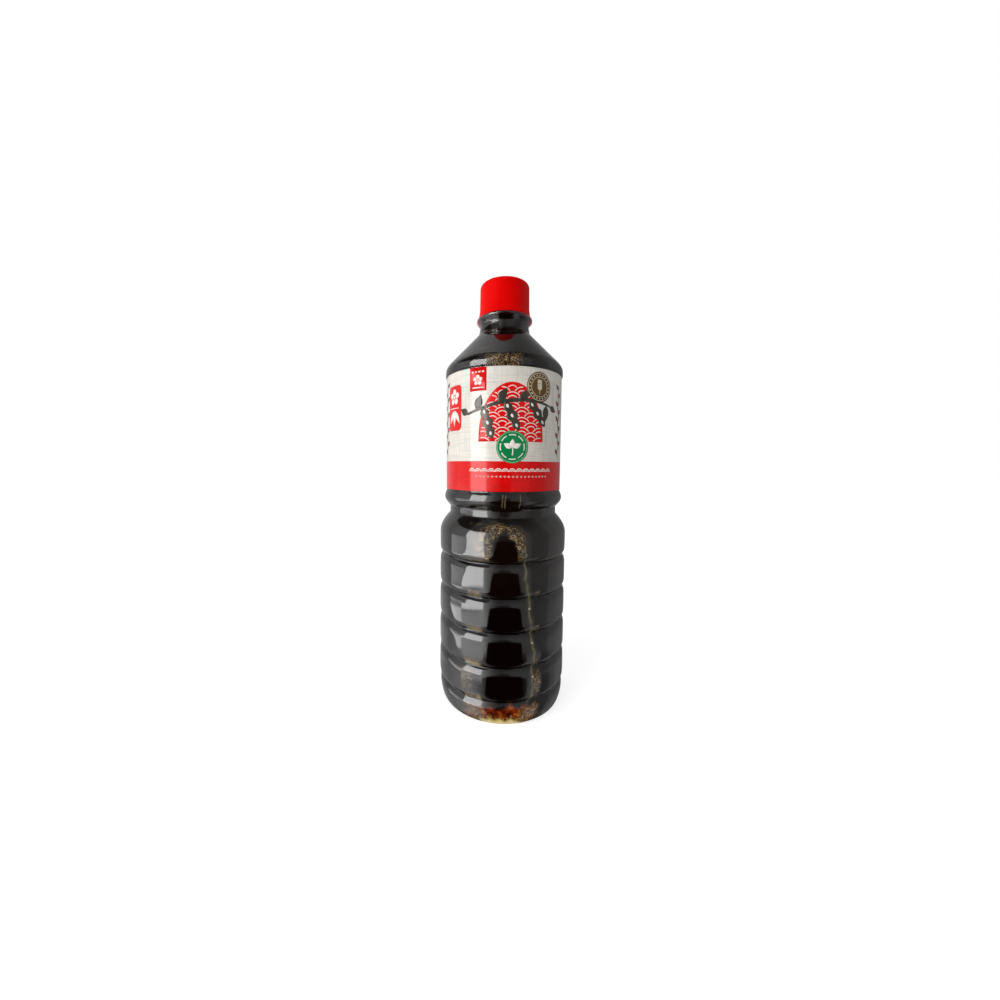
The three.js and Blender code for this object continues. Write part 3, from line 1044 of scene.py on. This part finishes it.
def print_tag(red, cream):
    """The tag that hangs from the label's top edge."""
    print_shapes("tag", [box(-20.4, 193.8, -9.8, LABEL_HIGH_Z - 0.02)], 2, red)
    marks = blossom(-15.1, 199.8, 3.1)
    marks += [box(-19.2 + 2.2 * k, 204.0, -17.8 + 2.2 * k, 204.9) for k in range(4)]
    marks += [box(-18.6, 195.3, -11.6, 195.9)]
    print_shapes("tag_marks", marks, 3, cream)


def print_wheat_seal(brown):
    """The brown seal with an ear of wheat."""
    x, y = 21.8, 196.4
    print_shapes("wheat_seal", [[circle(x, y, 8.6, 60)]], 3, brown)
    marks = [ring(x, y, 7.9, 7.55), ring(x, y, 5.7, 5.4)]
    marks += [[circle(x + 6.6 * cos(t), y + 6.6 * sin(t), 0.42, 10)]
              for t in [2 * pi * k / 20 for k in range(20)]]
    marks += [box(x - 0.2, y - 4.2, x + 0.2, y + 1.5)]
    marks += [[placed(leaf(2.6, 1.2, 8), x + side * 0.1, y - 1.8 + 1.35 * k, 90 - side * 38)]
              for k in range(4) for side in (-1, 1)]
    marks += [[placed(leaf(2.4, 1.1, 8), x, y + 2.4, 90)]]
    print_shapes("wheat_seal_marks", marks, 4, ink("pale_brown_ink", (0.62, 0.55, 0.42)))


def print_sprout_seal(green, cream):
    """The green seal with a sprout."""
    x, y = 5.3, 162.1
    print_shapes("sprout_seal", [[circle(x, y, 9.2, 64)]], 5, green)
    light_green = ink("light_green_ink", (0.25, 0.50, 0.30))
    print_shapes("sprout_seal_ring", [ring(x, y, 8.75, 8.4)], 6, light_green)
    marks = [arc_strip(x, y, 7.2, 6.6, start, start + 34, 8) for start in range(-17, 343, 45)]
    marks += [[stroke([(x, y - 4.6), (x + 0.3, y - 2.5), (x, y - 0.6)], (0.9, 0.7, 0.6))]]
    for shift, turn in ((0.4, 28), (0, 90), (-0.4, 152)):
        marks.append([placed(leaf(5.2, 3.0), x + shift, y - 0.5, turn)])
    print_shapes("sprout_seal_marks", marks, 6, cream)


def print_left_field(red, cream):
    """The upright red field on the left, with a blossom and bamboo leaves."""
    print_shapes("left_field", [box(-40.9, 172.3, -27.0, 199.0, 2.6)], 3, red)
    marks = blossom(-34, 192.2, 5.0)
    for shift, turn in ((0, -90), (0.5, -58), (-0.5, -122)):
        marks.append([placed(leaf(9.5, 2.7), -34 + shift, 184.4, turn)])
    marks += [box(-38.6, 185.4, -29.4, 185.9)]
    print_shapes("left_field_marks", marks, 4, cream)


def print_vines(red, charcoal):
    """Upright vines with leaves and berries, near both sides."""
    last = 48
    for side, x, low, high in (("left", -45.0, 157, 202), ("right", 41.0, 157, 200)):
        heights = [part_way(low, high, t) for t in [0] + steps(last)]
        rise = [(x + 0.8 * sin(y * 0.7), y) for y in heights]
        vine = [[stroke(rise, (0.7, 1.1, 0.5))]]
        count = int((high - low) / 4.5)
        for k in range(count):
            turn = 42 if k % 2 else 138
            vine.append([placed(leaf(4.6, 2.5, 10), *rise[int(last * (k + 0.5) / count)], turn)])
        print_shapes(f"vine_{side}", vine, 2, charcoal)
        berries = []
        for k in range(count - 1):
            stem_x, stem_y = rise[int(last * (k + 1) / count)]
            berries.append([circle(stem_x + (1.9 if k % 2 else -1.9), stem_y - 0.8, 0.75, 12)])
        print_shapes(f"vine_{side}_berries", berries, 2, red)


def print_band_border(cream):
    """The band's border of small waves over a row of lozenges."""
    waves, lozenges = [], []
    for k in range(13):
        x = -18.6 + 4 * k
        waves.append(arc_strip(x, 148.2, 1.95, 1.4, 0, 180, 12))
        waves.append(arc_strip(x, 148.2, 0.95, 0.45, 0, 180, 8))
    for k in range(19):
        x = -15.4 + 2.37 * k
        lozenges.append([[(x - 0.85, 145.4), (x, 144.7), (x + 0.85, 145.4), (x, 146.1)]])
    print_shapes("band_waves", waves, 2, cream)
    print_shapes("band_lozenges", lozenges, 2, ink("pink_ink", (0.72, 0.33, 0.30)))


def print_back(red, charcoal):
    """The label's back: two ruled panels, one on each side of its seam."""
    for side in (-1, 1):
        x0, x1 = sorted((side * 62, side * 104))
        rules = [[box(x0, 160, x1, 200, 1.5)[0], box(x0 + 0.5, 160.5, x1 - 0.5, 199.5, 1.2)[0]]]
        rules += [box(x0 + 2.5, 164 + 4 * k, x1 - 2.5, 164.3 + 4 * k) for k in range(8)]
        print_shapes(f"back_rules_{'right' if side > 0 else 'left'}", rules, 2, charcoal)
    fields = [box(side * 83 - 19, 195.2, side * 83 + 19, 198.2) for side in (-1, 1)]
    print_shapes("back_fields", fields, 2, red)


def make_print():
    """The label's print: plain fields of colour with simple wave, pod, leaf and blossom shapes."""
    red = ink("bright_red_ink", (0.69, 0.001, 0.001))
    charcoal = ink("charcoal_ink", (0.042, 0.036, 0.028))
    cream = ink("cream_ink", (0.80, 0.77, 0.71), 0.03)
    print_hill(red, cream, charcoal)
    print_tag(red, cream)
    print_wheat_seal(ink("brown_ink", (0.115, 0.062, 0.016)))
    print_sprout_seal(ink("green_ink", (0.001, 0.20, 0.055)), cream)
    print_left_field(red, cream)
    print_vines(red, charcoal)
    print_band_border(cream)
    print_back(red, charcoal)


def make_floor():
    """A pale floor that glows a little, so that it reads as the photo's white ground."""
    bpy.ops.mesh.primitive_plane_add(size=12, location=(0, 0, 0))
    floor = bpy.context.object
    floor.name = "floor"
    material, n = new_material("floor")
    n.surface(Base_Color=(0.55, 0.55, 0.55, 1), Roughness=0.9,
              Emission_Color=(1, 1, 1, 1), Emission_Strength=0.74)
    floor.data.materials.append(material)
    floor.visible_glossy = False
    floor.visible_diffuse = False


def room_light(n, azimuth, elevation):
    """The light of the walls and of the table."""
    stops = [(a / 90, (b,) * 3) for a, b in UPWARD_LIGHT]
    upward = n.parts(n.stops(n.math("DIVIDE", elevation, 90), stops))[0]
    behind = n.ramp(n.math("ABSOLUTE", azimuth), 118, 140)
    wall = n.times(n.round_room(azimuth, WALL_LIGHT), n.largest(upward, behind))
    patches = [(n.times(n.between(azimuth, *sides, 2), n.between(elevation, *heights, 2)), brightness)
               for sides, heights, brightness in (DIM_CORNER, OVER_WINDOW)]
    plain = n.minus(1.0, n.largest(*[patch for patch, brightness in patches]))
    wall = n.plus(n.times(wall, plain), n.largest(*[n.times(*patch) for patch in patches]))
    table = n.times(n.round_room(azimuth, TABLE_LIGHT), n.ramp(elevation, -62, -50, 0.25, 1.0))
    return n.plus(n.times(wall, n.ramp(elevation, *TABLE_EDGE)),
                  n.times(table, n.fall(elevation, *TABLE_EDGE)))


def window_light(n, azimuth, elevation):
    """A bright pane, a dimmer one to the left of it, and the lit sill that slants away under both."""
    mullion = n.ramp(elevation, -18, -13, -75, -65)
    right_of_mullion = n.ramp(n.minus(azimuth, mullion), -1.2, 1.2)
    left_of_mullion = n.minus(1.0, right_of_mullion)
    bright_side = n.times(right_of_mullion, n.fall(azimuth, *WINDOW_RIGHT))
    pane = n.times(bright_side, n.between(elevation, *PANE[0], 1.5))
    under_pane = n.times(bright_side, n.between(elevation, *UNDER_PANE[0], 2))
    dim_pane = n.times(left_of_mullion, n.ramp(azimuth, -105, -101), n.between(elevation, *DIM_PANE[0], 2))
    slant = n.plus(azimuth, n.times(n.plus(elevation, 20), 2.6))
    sill = n.times(left_of_mullion, n.ramp(slant, -108, -104), n.between(elevation, *SILL[0], 1.2))
    return n.largest(n.times(pane, PANE[1]), n.times(under_pane, UNDER_PANE[1]),
                     n.times(dim_pane, DIM_PANE[1]), n.times(sill, SILL[1]))


def make_room():
    """Soft room light: a tall window on the left, plain walls, a table and a dark screen in front."""
    world = bpy.data.worlds.new("studio")
    bpy.context.scene.world = world
    world.use_nodes = True
    n = Nodes(world.node_tree)
    x, y, z = n.parts(n.add("TexCoord").outputs["Generated"])
    degrees = 180 / pi
    azimuth = n.times(n.math("ARCTAN2", x, n.times(y, -1.0)), degrees)
    elevation = n.times(n.math("ARCSINE", z), degrees)
    light = n.largest(room_light(n, azimuth, elevation), window_light(n, azimuth, elevation))

    # A dark screen in front, below the camera, and its stand
    screen = n.fall(n.oval(azimuth, elevation, *SCREEN_OVAL), 0.93, 1.02)
    stand = n.ramp(n.oval(azimuth, elevation, *STAND_OVAL), 0.85, 1.1, 0.7, 0.0)
    colour = n.mix(n.largest(screen, stand), n.join(light, light, light), SCREEN_COLOUR)

    # Soft surfaces see half of an even light, and what is seen past the bottle is white
    path = n.add("LightPath").outputs
    seen = n.largest(path["Is Camera Ray"], path["Is Transmission Ray"])
    colour = n.mix(n.times(path["Is Diffuse Ray"], 0.5), colour, AMBIENT)
    strength = n.ramp(path["Is Diffuse Ray"], 0, 1, 1.0, DIFFUSE_SHARE)
    background = n.feed(n.add("Background"), Color=n.mix(seen, colour, (1, 1, 1)), Strength=strength)
    n.put(n.add("OutputWorld").inputs["Surface"], background)
    bpy.context.scene.view_settings.view_transform = "Standard"


make_camera()
make_shell(clear_plastic())
make_sauce(soy_sauce())
make_cap(satin_red())
make_label(linen(), ink("red_ink", (0.65, 0.0008, 0.0008)))
make_print()
make_floor()
make_room()
